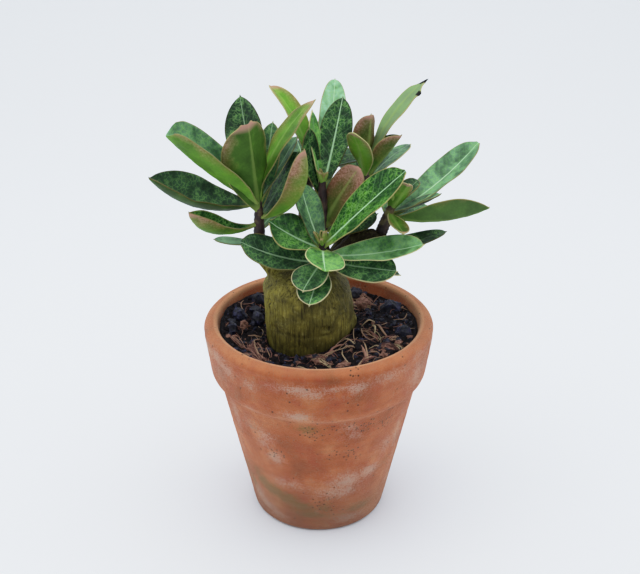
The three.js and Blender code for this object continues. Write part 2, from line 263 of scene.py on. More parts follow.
def grain(x, y, z, size):
    # smooth noise from -1 to 1, its lumps about size millimetres wide
    return noise.noise(Vector((x / size, y / size, z / size)))


# pot
pot = {
    "height": 121, "rim": 65, "mouth": 57, "band": 31, "bandFoot": 61.3, "neck": 57.4, "foot": 39.5,
    "footEdge": 2.5, "floor": 9, "floorRadius": 33, "drain": 8, "sides": 180, "cut": 1.25, "throwing": 0.14,
    "groove": (115.4, 0.6, 0.6), "shrink": 0.12,
    # patches: turn from the front in degrees (+ to the right), height, half width in degrees, half height, strength
    "lime": [
        # the first four, broad and at the sides seen from the front, are painted sheen where the sides turn away, not
        # lime
        (-60, 104, 13, 14, 0.42), (60, 104, 14, 14, 0.5), (-62, 50, 7, 40, 0.3), (62, 50, 7, 40, 0.3),
        (-59, 114, 9, 5, 0.7), (-50, 110, 7, 4, 0.7), (-35, 107, 5, 4, 0.6), (-17, 111, 10, 3, 0.55),
        (-9, 111, 9, 3, 0.75), (-3, 108, 9, 3, 0.6), (8, 112, 12, 2, 0.55), (18, 111, 6, 4, 0.8),
        (36, 113, 14, 4, 0.55), (57, 104, 5, 8, 0.6), (57, 116, 10, 3, 0.4), (-57, 76, 4, 12, 0.6),
        (-37, 90, 4, 3, 0.6), (-11, 93, 8, 3, 0.9), (-44, 75, 6, 6, 0.6), (-33, 70, 7, 5, 0.7), (-37, 64, 7, 4, 0.5),
        (-28, 56, 6, 5, 0.85), (17, 82, 5, 5, 0.5), (21, 75, 7, 4, 0.45), (48, 58, 10, 7, 0.6), (58, 62, 4, 14, 0.6),
        (20, 40, 14, 7, 0.85), (38, 43, 9, 5, 0.85), (12, 32, 18, 5, 0.75), (24, 9, 17, 4, 0.85),
        (-54, 18, 7, 7, 1), (-45, 12, 9, 4, 1), (-34, 8, 10, 3, 0.8), (-1, 16, 3, 2, 0.7),
        (-22, 37, 16, 5, 0.55)],
    "algae": [
        (-58, 25, 5, 6, 0.6), (-64, 33, 5, 8, 0.6), (-44, 31, 8, 5, 0.95), (-34, 27, 9, 5, 1.1),
        (-23, 24, 10, 5, 1.1), (-13, 20, 11, 4, 1.1), (-6, 14, 12, 3, 1.2), (5, 20, 7, 5, 0.7), (-6, 82, 7, 3, 0.75),
        (34, 15, 15, 4, 0.85), (50, 44, 8, 4, 0.4), (-44, 76, 5, 5, 0.35), (-48, 36, 10, 8, 0.45),
        (-18, 18, 16, 6, 0.5), (10, 10, 20, 5, 0.4)],
    "pits": [
        (-4, 77, 6, 3, 1), (8, 82, 10, 3, 1), (25, 81, 9, 4, 1), (42, 80, 5, 6, 1), (16, 97, 6, 3, 0.7),
        (9, 63, 5, 2, 0.8), (19, 64, 9, 5, 0.95), (-29, 60, 5, 4, 0.8), (-5, 29, 6, 2, 0.9), (4, 27, 7, 4, 1),
        (2, 21, 8, 3, 0.9), (18, 119, 5, 1.5, 1), (140, 60, 20, 20, 0.7), (220, 40, 20, 14, 0.7)],
    "backPatches": 44,
}
patchDraw = random.Random(4)
for _ in range(pot["backPatches"]):  # the back has weathered like the front
    kind = patchDraw.choice(("lime", "lime", "algae"))
    level = patchDraw.uniform(94, 117) if kind == "lime" and patchDraw.random() < 0.4 else patchDraw.uniform(6, 88)
    pot[kind].append((patchDraw.uniform(72, 288), level if kind == "lime" else level * 0.45,
                      patchDraw.uniform(5, 13), patchDraw.uniform(3, 7), patchDraw.uniform(0.4, 0.9)))


def patchStrength(patches, turns, heights):
    # how strong a kind of wear, or the painted sheen at the pot's sides, is at each point, where patches overlap
    # mostly the stronger
    total = np.zeros(len(turns))
    for middle, level, wide, tall, strength in patches:
        across = (turns - middle + 180) % 360 - 180
        patch = strength * np.exp(-(across / wide) ** 2 - ((heights - level) / tall) ** 2)
        total = np.maximum(total, 0.35 * total + patch)
    return total


tall, rim, mouth, foot, neck, edge = (pot[part] for part in ("height", "rim", "mouth", "foot", "neck", "bandFoot"))
low = tall - pot["band"]  # where the band's foot is
potProfile = [
    (pot["drain"], 0), (foot - pot["footEdge"], 0), (foot - 0.6, 0.6), (foot, pot["footEdge"]),
    (neck - 0.2, low - 3.2), (neck + 0.8, low - 1.9), (edge - 1.3, low - 0.9), (edge - 0.2, low + 0.4),
    (edge + 0.2, low + 1.8),
    (rim - 0.3, tall - 6), (rim, tall - 4), (rim - 0.6, tall - 2.4), (rim - 1.8, tall - 1.2), (rim - 3.6, tall - 0.4),
    (mouth + 2.2, tall), (mouth + 0.9, tall - 0.1), (mouth + 0.1, tall - 0.8), (mouth, tall - 2),
    (pot["floorRadius"] + 1.5, pot["floor"] + 3), (pot["floorRadius"] - 2, pot["floor"]),
    (pot["drain"], pot["floor"]),
]
finePot = []
for here, there in zip(potProfile, potProfile[1:] + potProfile[:1]):
    cuts = max(1, round(math.dist(here, there) / pot["cut"]))
    finePot += [(here[0] + (there[0] - here[0]) * k / cuts, here[1] + (there[1] - here[1]) * k / cuts)
                for k in range(cuts)]
for _ in range(2):  # the thrower's sponge rounds every corner a little
    finePot = [((a[0] + 2 * b[0] + c[0]) / 4, (a[1] + 2 * b[1] + c[1]) / 4)
               for a, b, c in zip(finePot[-1:] + finePot[:-1], finePot, finePot[1:] + finePot[:1])]
potRings, potTurns, potHeights = [], [], []
grooveAt, grooveWide, grooveDeep = pot["groove"]
for radius, height in finePot:
    ring = []
    outer = radius > foot - 3 + height * 0.18
    groove = grooveDeep * math.exp(-((height - grooveAt) / grooveWide) ** 2) * outer
    for k in range(pot["sides"]):
        turn = 2 * math.pi * k / pot["sides"]
        x, y = radius * math.cos(turn), radius * math.sin(turn)
        throwing = pot["throwing"] * (grain(x / 9, y / 9, height, 2.6) + grain(x, y, height, 22)) * (height > 1)
        dent = 1 + (throwing - groove - pot["shrink"]) / radius
        ring.append((x * dent, y * dent, max(0, height)))
        potTurns.append(math.degrees(math.atan2(x, -y)))
        potHeights.append(height)
    potRings.append(ring)
potPoints, potFaces = loft(potRings, closed=True)
potTurns, potHeights = np.array(potTurns), np.array(potHeights)
potWear = np.stack([patchStrength(pot[kind], potTurns, potHeights) for kind in ("lime", "algae", "pits")], axis=1)

# terracotta, thrown and fired without glaze: matt open clay that lime salts and algae have come through
clay, tree, place = newMaterial("thrownTerracotta", {
    "Roughness": 0.9, "Specular IOR Level": 0.2, "Sheen Weight": 0.32, "Sheen Roughness": 0.5,
    "Sheen Tint": "#ffe4ca"})
spot = addNode(tree, "SeparateXYZ", {0: place}).outputs
lime, algae, pitting = pointMarks(tree, "potWear")[1]
# clouds of tone 22 mm and 11 mm wide, and throwing streaks 2 mm high
drift = addNode(tree, "TexNoise", {"Scale": 45, "Detail": 6, "Roughness": 0.62, "Vector": place})
redness = addNode(tree, "TexNoise", {"noise_dimensions": "4D", "Scale": 90, "Detail": 5, "Roughness": 0.6, "W": 2,
                                     "Vector": place})
stretched = addNode(tree, "VectorMath", {"operation": "MULTIPLY", 0: place, 1: (45, 45, 520)})
streaks = addNode(tree, "TexNoise", {"Scale": 1, "Detail": 4, "Vector": stretched})
# salt and algae break up into grains of about 1 mm and clouds of about 6 mm
grains = addNode(tree, "TexNoise", {"Scale": 1100, "Detail": 4, "Roughness": 0.9, "Vector": place})
clouds = addNode(tree, "TexNoise", {"Scale": 170, "Detail": 6, "Roughness": 0.7, "Distortion": 0.8, "Vector": place})
sharpGrains = addNode(tree, "MapRange", {0: grains, 1: 0.38, 2: 0.62})
breakUp = weightedSum(tree, [(sharpGrains, 0.8)], clouds)
# the lip, worn pale inside and lightened over its top by a painted highlight, and the band's foot, whose edge lies
# 90.5 mm up
level = addNode(tree, "CombineXYZ", {0: spot[0], 1: spot[1]})
reach = addNode(tree, "VectorMath", {"operation": "LENGTH", 0: level})
insideLip = addNode(tree, "MapRange", {0: reach, 1: 0.0588, 2: 0.0598, 3: 0.6, 4: 0.22})
atLip = addNode(tree, "MapRange", {0: spot[2], 1: 0.1175, 2: 0.1199})
lipWearAndHighlight = addNode(tree, "Math", {"operation": "MULTIPLY", 0: insideLip, 1: atLip})
edgeAway = addNode(tree, "Math", {"operation": "SUBTRACT", 0: spot[2], 1: 0.0905})
edgeFar = addNode(tree, "Math", {"operation": "ABSOLUTE", 0: edgeAway})
# pits where grog and air bubbles broke out, about 1 mm wide, thick in some places, darkened with painted shade in
# their hollows
shift = addNode(tree, "VectorMath", {"operation": "SCALE", 0: grains.outputs["Color"], 3: 0.0012})
pitPlace = addNode(tree, "VectorMath", {"operation": "ADD", 0: place, 1: shift})
pitCells = addNode(tree, "TexVoronoi", {"Scale": 760, "Randomness": 1, "Vector": pitPlace})
pitRound = addNode(tree, "MapRange", {0: pitCells, 1: 0.3, 2: 0.52, 3: 1, 4: 0})
pitLot = addNode(tree, "SeparateColor", {0: pitCells.outputs["Color"]})
pitSum = weightedSum(tree, [(pitting, 0.42)], pitLot)
pitChance = addNode(tree, "Math", {"operation": "GREATER_THAN", 0: pitSum, 1: 0.988})
pitPart = addNode(tree, "Math", {"operation": "MULTIPLY", 0: pitRound, 1: pitChance})
body = addNode(tree, "ValToRGB", {0: drift, "stops": [
    (0.3, "#884320"), (0.45, "#a4522a"), (0.56, "#b06137"), (0.7, "#c07b4e")]})
worn = layPaint(tree, body, [
    (redness, 0.5, 0.68, 0, 0.65, "#9d4229"),
    (streaks, 0.45, 0.75, 0, 0.3, "#834a2b"),
    # the lip's top paler: wear, and a painted highlight
    (lipWearAndHighlight, 0, 1, 0, 1, "#d9a274"),
    (breakUp, 0.75, 0.4, 0, 0.4, "#7a3d24"),
    # lime salts in a pale grey-tan, and the painted sheen at the pot's sides in the same paint
    (weightedSum(tree, [(breakUp, 1.2)], lime), 1.36, 2.0, 0, 0.7, "#bda593"),
    # a pale line along the band's foot where lime lies, which is also a painted highlight on that edge
    (edgeFar, 0.0002, 0.0006, 0.7, 0, "#c99473", lime),
    (weightedSum(tree, [(breakUp, 1.2)], algae), 1.35, 1.85, 0, 0.78, "#65572c"),
    (weightedSum(tree, [(clouds, 0.03)], spot[2]), 0.013, 0.06, 0.65, 0, "#6c4a38"),
    # painted shade in the pits
    (pitPart, 0, 1, 0, 0.92, "#331c11")])
surface(tree, worn, weightedSum(tree, [(pitPart, -1.4)], breakUp), 0.5, 0.4)
keepPiece("thrownPot", potPoints, potFaces, [clay], ["pot"], {"potWear": potWear})
print("pot done")

# trunk
trunk = {"voxel": 0.75, "smooth": 10, "striation": 0.2, "middle": -5.0, "creaseWide": 0.75,
         "bodyTop": 152, "bodyFade": 8, "branchFill": 0.15,
         # scars where leaves and side shoots fell: x, height, width and depth, on the front
         "scars": [
             (-26, 136, 2.6, 1.1), (4, 125, 3.0, 1.2), (-20, 128, 4.0, 0.5), (-14, 140, 3.0, 0.8),
             (9, 137, 2.4, 0.8), (14, 130, 2.0, 0.6), (-3, 117, 3.0, 0.35), (-24, 122, 2.0, 0.4)],
         # creases round the trunk: height, tilt, depth
         "creases": [
             (121.5, 1.3, 0.5), (131.5, -1.6, 0.35), (127, 0.8, 0.22), (137.5, 1.8, 0.3), (113.5, -1.2, 0.25)]}


def fineCopy(node, voxel, rounds):
    # a copy of a CAD node, remeshed and smoothed
    piece = newObject(node + "Fine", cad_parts[node].data.copy())
    remesh = piece.modifiers.new("remesh", "REMESH")
    remesh.mode, remesh.voxel_size = "VOXEL", voxel * mm
    soften = piece.modifiers.new("soften", "SMOOTH")
    soften.factor, soften.iterations = 0.5, rounds
    shaped = bpy.data.meshes.new_from_object(piece.evaluated_get(bpy.context.evaluated_depsgraph_get()))
    points, normals = np.empty((2, len(shaped.vertices) * 3))
    shaped.vertices.foreach_get("co", points)
    shaped.vertices.foreach_get("normal", normals)
    faces = [tuple(p.vertices) for p in shaped.polygons]
    bpy.data.objects.remove(piece)
    return points.reshape(-1, 3) / mm, normals.reshape(-1, 3), faces


trunkPoints, trunkNormals, trunkFaces = fineCopy("trunk", trunk["voxel"], trunk["smooth"])
for i, (x, y, z) in enumerate(trunkPoints):
    turn = math.atan2(y, x - trunk["middle"])
    swell = 0.5 * grain(x, y, z / 1.6, 13) + 0.3 * grain(x, y, z, 5.5)
    rough = trunk["striation"] * grain(turn * 22, 3, z / 7, 0.9) + 0.16 * grain(x, y, z, 1.9)
    creased = 0
    for level, tilt, deep in trunk["creases"]:
        away = z - level - tilt * math.sin(turn * 2 + level) - 0.7 * grain(x, y, level, 6)
        creased -= deep * math.exp(-(away / trunk["creaseWide"]) ** 2) * (0.6 + 0.8 * grain(x, y, level, 9))
    if y < 5:
        for scarX, scarZ, wide, deep in trunk["scars"]:
            away = ((x - scarX) ** 2 + 2.2 * (z - scarZ) ** 2) / wide ** 2
            creased += deep * (0.5 * math.exp(-((away - 1.6) / 0.7) ** 2) - math.exp(-away))
    body = min(1, max(0, (trunk["bodyTop"] - z) / trunk["bodyFade"]))
    filled = rough * (0.5 + 0.5 * body) + trunk["branchFill"] * (1 - body)
    trunkPoints[i] += trunkNormals[i] * (body * (swell + creased) + filled)

# living caudex bark: thin green-olive skin, drawn up in fine upright cracks, browner on the branches. Its cracks
# are 1 mm wide and 12 mm long, its clouds 10 mm and its flecks 2 mm
bark, tree, place = newMaterial("caudexBark", {"Roughness": 0.65, "Specular IOR Level": 0.12})
spot = addNode(tree, "SeparateXYZ", {0: place}).outputs
upright = addNode(tree, "VectorMath", {"operation": "MULTIPLY", 0: place, 1: (900, 900, 85)})
cracks = addNode(tree, "TexNoise", {"Scale": 1, "Detail": 5, "Roughness": 0.7, "Vector": upright})
clouds = addNode(tree, "TexNoise", {"Scale": 95, "Detail": 6, "Roughness": 0.65, "Distortion": 0.5, "Vector": place})
flecks = addNode(tree, "TexNoise", {"Scale": 520, "Detail": 4, "Roughness": 0.7, "Vector": place})
olive = addNode(tree, "ValToRGB", {0: clouds, "stops": [
    (0.25, "#3a3017"), (0.42, "#544d23"), (0.56, "#6e652c"), (0.72, "#94873d")]})
branchTone = addNode(tree, "ValToRGB", {0: flecks, "stops": [
    (0.35, "#1a1212"), (0.5, "#2a201d"), (0.62, "#3e3526"), (0.74, "#746a50")]})
paintedLeftLight = weightedSum(tree, [(spot[0], -18)], clouds)
combed = weightedSum(tree, [(flecks, 0.7)], cracks)
lift = weightedSum(tree, [(clouds, 0.012)], spot[2])
barkTone = layPaint(tree, olive, [
    # paler and yellower towards the left: painted light from the left side
    (paintedLeftLight, 0.75, 1.15, 0, 0.8, "#8f8636"),
    (cracks, 0.36, 0.53, 0.9, 0, "#2c2510"),
    (combed, 0.95, 1.15, 0, 0.6, "#b0a86a"),
    (lift, 0.16, 0.168, 0, 0.9, branchTone),
    (lift, 0.112, 0.128, 0.6, 0, "#2c2a10")])
surface(tree, barkTone, combed, 0.8, 0.6)
keepPiece("swollenTrunk", trunkPoints, trunkFaces, [bark], ["trunk"])
print("trunk done")

# soil, with its lumps and crumbs
soil = {"level": 108, "heap": 8, "wallRise": 4, "surface": 112, "edge": 54, "sides": 160, "rings": 50,
        "relief": 1.3, "crumbs": 2300, "lumps": 90, "lumpSize": (2.4, 4.4),
        "crumbSizes": (0.5, 0.7, 0.9, 1.1, 1.4, 1.9), "leastCrumb": 0.4, "gap": 0.3, "wallGap": 0.35,
        "floorRings": ((9.4, 30.6), (12.4, 33.7)), "holeHeights": (104, 94, 86, 78, 70, 62, 56, 51.7),
        "trunkRings": [(52, -4, 8), (62, -4, 15), (78, -4, 20.5), (94, -4.5, 23.5), (108, -5, 24.3), (123, -5, 24.9)]}


def trunkAt(height, turn):
    # middle and radius of the soil's hole round the trunk, which bulges as the trunk does
    for (z0, x0, r0), (z1, x1, r1) in zip(soil["trunkRings"], soil["trunkRings"][1:]):
        if height <= z1:
            break
    part = (height - z0) / (z1 - z0)
    middle, radius = x0 + (x1 - x0) * part, r0 + (r1 - r0) * part
    lumps = 1 + 0.012 * math.sin(3 * turn + height / 30) + 0.01 * math.sin(5 * turn - height / 18)
    near = (turn + math.pi) % (2 * math.pi) - math.pi
    flare = 2.8 * math.exp(-(((near - 0.2) / 0.35) ** 2) - ((height - 116) / 6) ** 2)
    return middle, radius * lumps + flare + soil["gap"]


def wallAt(height):
    # radius of the pot's inside
    foot = pot["floorRadius"] + 1.5
    return foot + (pot["mouth"] - foot) * (height - pot["floor"] - 3) / (pot["height"] - 5 - pot["floor"])


def soilTop(x, y):
    # heaped to the right of the trunk, risen to the wall, and rough in lumps of 11, 5 and 2 mm
    reach = max(1, math.hypot(x, y))
    heap = soil["heap"] * math.exp(-(abs(math.atan2(y, x + 5) + 0.3) ** 4))
    steep = soil["wallRise"] + 2 * (x / reach) ** 2 + 3 * max(0, -x / reach)
    bank = steep * (max(0, reach - 30) / 25) ** 1.6
    rough = 0.9 * grain(x, y, 0, 11) + 0.5 * grain(x, y, 7, 5) + 0.3 * grain(x, y, 3, 2.2)
    return soil["level"] + (heap ** 4 + bank ** 4) ** 0.25 + soil["relief"] * rough


turns = np.linspace(0, 2 * math.pi, soil["sides"], endpoint=False)
edgeTops = [soilTop(soil["edge"] * math.cos(a), soil["edge"] * math.sin(a)) - 1 for a in turns]
soilRings = [[(radius * math.cos(a), radius * math.sin(a), height) for a in turns]
             for height, radius in soil["floorRings"]]
for step in range(soil["rings"]):
    part = (step / (soil["rings"] - 1)) ** 1.1
    ring = []
    for a, edgeTop in zip(turns, edgeTops):
        outer = wallAt(edgeTop) - soil["wallGap"]
        middle, inner = trunkAt(soil["surface"], a)
        x = (outer * (1 - part) + inner * part) * math.cos(a) + middle * part
        y = (outer * (1 - part) + inner * part) * math.sin(a)
        ring.append((x, y, edgeTop if step == 0 else soilTop(x, y)))
    soilRings.append(ring)
for height in soil["holeHeights"]:
    hole = [(a, *trunkAt(height, a)) for a in turns]
    soilRings.append([(middle + inner * math.cos(a), inner * math.sin(a), height) for a, middle, inner in hole])
soilPoints, soilFaces = loft(soilRings)

# potting mix: sieved bark dust and coir pith, dark and crumbly, with brown specks of 2 mm
earth, tree, place = newMaterial("pottingMix", {"Roughness": 0.95, "Specular IOR Level": 0.15})
dust = addNode(tree, "TexNoise", {"Scale": 420, "Detail": 6, "Roughness": 0.75, "Vector": place})
tone = addNode(tree, "ValToRGB", {0: dust, "stops": [
    (0.35, "#08070a"), (0.52, "#131014"), (0.64, "#2c2121"), (0.75, "#6a4a3f")]})
surface(tree, tone, dust, 1, 1.2)
keepPiece("pottingSoil", soilPoints, soilFaces, [earth], ["soil"])

# charcoal: broken and near black, its fresh faces a blue-grey satin, with ash in patches of 4 mm and wood grain
charcoal, tree, place = newMaterial("brokenCharcoal", {"Roughness": 0.6, "Specular IOR Level": 0.35})
ash = addNode(tree, "TexNoise", {"Scale": 260, "Detail": 6, "Roughness": 0.7, "Vector": place})
tone = addNode(tree, "ValToRGB", {0: ash, "stops": [
    (0.35, "#07070f"), (0.52, "#151629"), (0.63, "#2a2c4f"), (0.74, "#4d527d")]})
woodGrain = addNode(tree, "VectorMath", {"operation": "MULTIPLY", 0: place, 1: (1200, 300, 500)})
surface(tree, tone, addNode(tree, "TexNoise", {"Scale": 1, "Detail": 5, "Vector": woodGrain}), 0.8, 0.8)

# coir husk: matted brown-pink fibre of the coconut, dry and dull, its strands about 0.5 mm thick
husk, tree, place = newMaterial("coirHusk", {"Roughness": 0.85, "Specular IOR Level": 0.3})
strands = addNode(tree, "VectorMath", {"operation": "MULTIPLY", 0: place, 1: (500, 2200, 1200)})
matting = addNode(tree, "TexNoise", {"Scale": 1, "Detail": 5, "Roughness": 0.6, "Vector": strands})
tone = addNode(tree, "ValToRGB", {0: matting, "stops": [(0.32, "#3c2724"), (0.5, "#7d5546"), (0.68, "#b38a77")]})
surface(tree, tone, matting, 0.9, 0.8)


def takeShape(shape):
    points, normals = (np.array([getattr(v, kind)[:] for v in shape.verts]) for kind in ("co", "normal"))
    faces = [tuple(v.index for v in f.verts) for f in shape.faces]
    shape.free()
    return points, normals, faces


def brokenLump(node, cuts, bite):
    # the CAD lump with its faces split and chipped
    shape = bmesh.new()
    shape.from_mesh(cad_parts[node].data)
    bmesh.ops.remove_doubles(shape, verts=shape.verts, dist=1e-6)
    bmesh.ops.subdivide_edges(shape, edges=shape.edges, cuts=cuts, use_grid_fill=True)
    shape.normal_update()
    points, normals, faces = takeShape(shape)
    points /= mm
    for i, (x, y, z) in enumerate(points):
        step = 0.25 - abs(grain(x, y, z, 3.5)) - 0.5 * abs(grain(x, y, z, 1.5))
        points[i] += normals[i] * bite * step
    return points, faces


# lumps: how the node's name starts, how deep its faces are chipped, its piece's name, material, slot, smooth
lumpKinds = (("charcoal", 1.3, "Lump", charcoal, "charcoal", False), ("husk", 1.0, "Piece", husk, "coir_husk", True),
             ("bark", 1.0, "Piece", husk, "coir_husk", True))
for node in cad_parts:
    for start, bite, ending, material, slot, smooth in lumpKinds:
        if node.startswith(start):
            points, faces = brokenLump(node, 5, bite)
            keepPiece(node.replace("_", "") + ending, points, faces, [material], [node], smooth=smooth)

sprinkle = random.Random(7)


def clearance(x, y):
    # how far a place on the soil is from the trunk and the wall
    middle, inner = trunkAt(soil["surface"], math.atan2(y, x + 5))
    return min(wallAt(soil["surface"]) - 0.6 - math.hypot(x, y), math.hypot(x - middle, y) - inner)


crumbPoints, crumbFaces, crumbPicks = [], [], []
ball = bmesh.new()
bmesh.ops.create_icosphere(ball, subdivisions=1, radius=1)
ballPoints, _, ballFaces = takeShape(ball)
for count in range(soil["crumbs"]):
    x, y = (sprinkle.uniform(-soil["edge"], soil["edge"]) for _ in range(2))
    size = sprinkle.uniform(*soil["lumpSize"]) if count < soil["lumps"] else sprinkle.choice(soil["crumbSizes"])
    size = min(size, clearance(x, y))
    if size < soil["leastCrumb"]:
        continue
    turn = sprinkle.uniform(0, math.pi)
    squeeze = np.array([sprinkle.uniform(0.6, 1.2), sprinkle.uniform(0.5, 1.0), sprinkle.uniform(0.5, 0.9)]) * size
    reach = np.array([sprinkle.uniform(0.7, 1.2) for _ in ballPoints])
    shape = ballPoints * reach[:, None] * squeeze
    spun = shape.copy()
    spun[:, 0] = shape[:, 0] * math.cos(turn) - shape[:, 1] * math.sin(turn)
    spun[:, 1] = shape[:, 0] * math.sin(turn) + shape[:, 1] * math.cos(turn)
    addShape(crumbPoints, crumbFaces, spun + (x, y, soilTop(x, y) + 0.1 * size), ballFaces)
    crumbPicks += [sprinkle.choices((0, 1, 2), (6, 6, 1.2))[0]] * len(ballFaces)
keepPiece("soilCrumbs", crumbPoints, crumbFaces, [charcoal, earth, husk], picks=crumbPicks,
          smooth=False)

# coir fibre: dry hair-thin strands, straw to red-brown, drawn about twice as thick as real so that they show
coir, tree, place = newMaterial("dryCoirFibre", {"Roughness": 0.75, "Specular IOR Level": 0.25})
strandTone = pointMarks(tree, "strandTone")[1]
tone = addNode(tree, "ValToRGB", {0: strandTone[0], "stops": [
    (0.0, "#2a1b19"), (0.3, "#5a3a34"), (0.55, "#936559"), (0.75, "#ad8a70"), (1.0, "#c9b78d")]})
surface(tree, tone, addNode(tree, "TexNoise", {"Scale": 900, "Detail": 3, "Vector": place}), 0.5, 0.3)

# fibres: all lengths in millimetres
fibres = {
    "loose": 300, "looseEdge": 53, "looseLength": (4, 15), "sides": 5, "thin": 0.55, "leastSteps": 4, "steps": 11,
    "clear": 0.3, "lift": 0.5,
    # single straws: from x, y to x, y, arch, radius, shade (0 dark to 1 straw)
    "straws": [
        (-30, 1, -26, -17, 1, 0.34, 0.85), (5, -17, 13, -15, 1.6, 0.3, 0.95), (18, -4, 20, -24, 1.5, 0.3, 0.9),
        (20, -5, 20, -23, 1, 0.26, 0.8), (24, -4, 32, 2, 2.2, 0.34, 0.85), (13, -27, 16, -40, 0.8, 0.32, 0.9),
        (24, -21, 26, -43, 0.8, 0.4, 0.8), (13, -19, 20, -25, 1.6, 0.34, 0.9), (14, -27, 20, -29, 1.2, 0.3, 0.8),
        (33, -3, 38, -16, 1.6, 0.6, 0.72), (30, -3, 31, -13, 1.2, 0.55, 0.95), (26, 1, 32, 1, 1.4, 0.36, 0.8),
        (-40, -5, -32, -2, 0.9, 0.3, 0.75), (-37, -9, -32, -6, 0.9, 0.34, 0.7), (14, -24, 4, -30, 1.2, 0.6, 0.6),
        (24, -7, 28, -19, 1.2, 0.4, 0.7), (21, -24, 25, -42, 0.6, 0.9, 0.62)],
    # torn husk: strands side by side, from x, y to x, y, how far they spread, how many, shade
    "tufts": [
        (-36, -8, -31, -34, 4, 16, 0.56), (-38, -14, -33, -29, 3, 10, 0.5), (-30, -12, -27, -33, 2.5, 10, 0.55),
        (-24, -14, -17, -35, 4, 18, 0.58), (-5, -27, 7, -39, 3, 14, 0.56), (-7, -27, 4, -32, 2.5, 12, 0.5),
        (1, -29, 9, -28, 2, 9, 0.6), (36, -21, 43, -17, 4, 18, 0.55), (33, -25, 42, -30, 3, 14, 0.5),
        (40, -25, 44, -33, 2.5, 9, 0.5), (25, -10, 33, -20, 4.5, 16, 0.45), (22, 44, 33, 30, 5, 26, 0.66),
        (20, 40, 29, 27, 4, 18, 0.62), (-51, 0, -44, 2, 3, 10, 0.5), (-48, -13, -41, -22, 4, 14, 0.5),
        (-20, 38, -32, 44, 4, 14, 0.55), (4, 40, 14, 44, 3, 12, 0.5), (-14, -38, -4, -44, 3, 12, 0.5),
        (22, -44, 30, -38, 3, 12, 0.5), (-40, -30, -30, -40, 3, 12, 0.5)],
}
fibrePoints, fibreFaces, fibreMarks = [], [], []


def layFibre(path, radius, shade):
    steps = len(path)
    radii = [radius * (1 - fibres["thin"] * (2 * k / (steps - 1) - 1) ** 2) for k in range(steps)]
    points, faces = loft(tubeRings(path, radii, fibres["sides"]))
    addShape(fibrePoints, fibreFaces, points, faces)
    fibreMarks.extend([(shade, 0, 0)] * len(points))


def fibrePath(x0, y0, x1, y1, arch, wander):
    # a strand over the soil that stops at the trunk or the wall, or none where it would be too short
    path, steps = [], fibres["steps"]
    bowX, bowY = (y0 - y1) * wander, (x1 - x0) * wander
    for k in range(steps):
        part = k / (steps - 1)
        bow = math.sin(math.pi * part)
        x, y = x0 + (x1 - x0) * part + bowX * bow, y0 + (y1 - y0) * part + bowY * bow
        if clearance(x, y) < fibres["clear"]:
            break
        path.append((x, y, soilTop(x, y) + fibres["lift"] + arch * bow))
    return path if len(path) >= fibres["leastSteps"] else None


for x0, y0, x1, y1, arch, radius, shade in fibres["straws"]:
    path = fibrePath(x0, y0, x1, y1, arch, sprinkle.uniform(-0.15, 0.15))
    if path:
        layFibre(path, radius, shade)
for x0, y0, x1, y1, spread, strands, shade in fibres["tufts"]:
    for _ in range(strands):
        shift = [sprinkle.gauss(0, spread / 3) for _ in range(4)]
        path = fibrePath(x0 + shift[0], y0 + shift[1], x1 + shift[2], y1 + shift[3], sprinkle.uniform(0, 1.8),
                         sprinkle.uniform(-0.18, 0.18))
        if path:
            layFibre(path, sprinkle.uniform(0.11, 0.27), min(1, max(0, shade + sprinkle.gauss(0, 0.22))))
for _ in range(fibres["loose"]):
    x, y = (sprinkle.uniform(-fibres["looseEdge"], fibres["looseEdge"]) for _ in range(2))
    heading, length = sprinkle.uniform(0, 2 * math.pi), sprinkle.uniform(*fibres["looseLength"])
    path = fibrePath(x, y, x + length * math.cos(heading), y + length * math.sin(heading), sprinkle.uniform(0, 1.4),
                     sprinkle.uniform(-0.35, 0.35))
    if path:
        layFibre(path, sprinkle.uniform(0.1, 0.26), sprinkle.uniform(0.05, 0.9))
keepPiece("coirFibres", fibrePoints, fibreFaces, [coir], marks={"strandTone": fibreMarks})
print("soil done")

# leaves and stems, in millimetres and degrees
leafForm = {"rootThick": 2.2, "thick": 0.95, "rootHalf": 1.4, "tipHalf": 0.4, "widest": 0.64, "stations": 36,
            "lanes": 23, "veinGap": 5.2, "veinSlant": 0.95, "cusp": 1.1, "quilt": 0.16, "blister": 0.22,
            "ruffle": (0.25, 0.6), "budLeaves": 5, "stem": 3.3, "stemSides": 18, "stemSteps": 30}
# on each point of a leaf: its place on it; how far along, how far out, how far in; its tones and painted sheen;
# margin, rib, dead
leafMarks = ("leafPlace", "leafMark", "leafLook", "leafTrim")
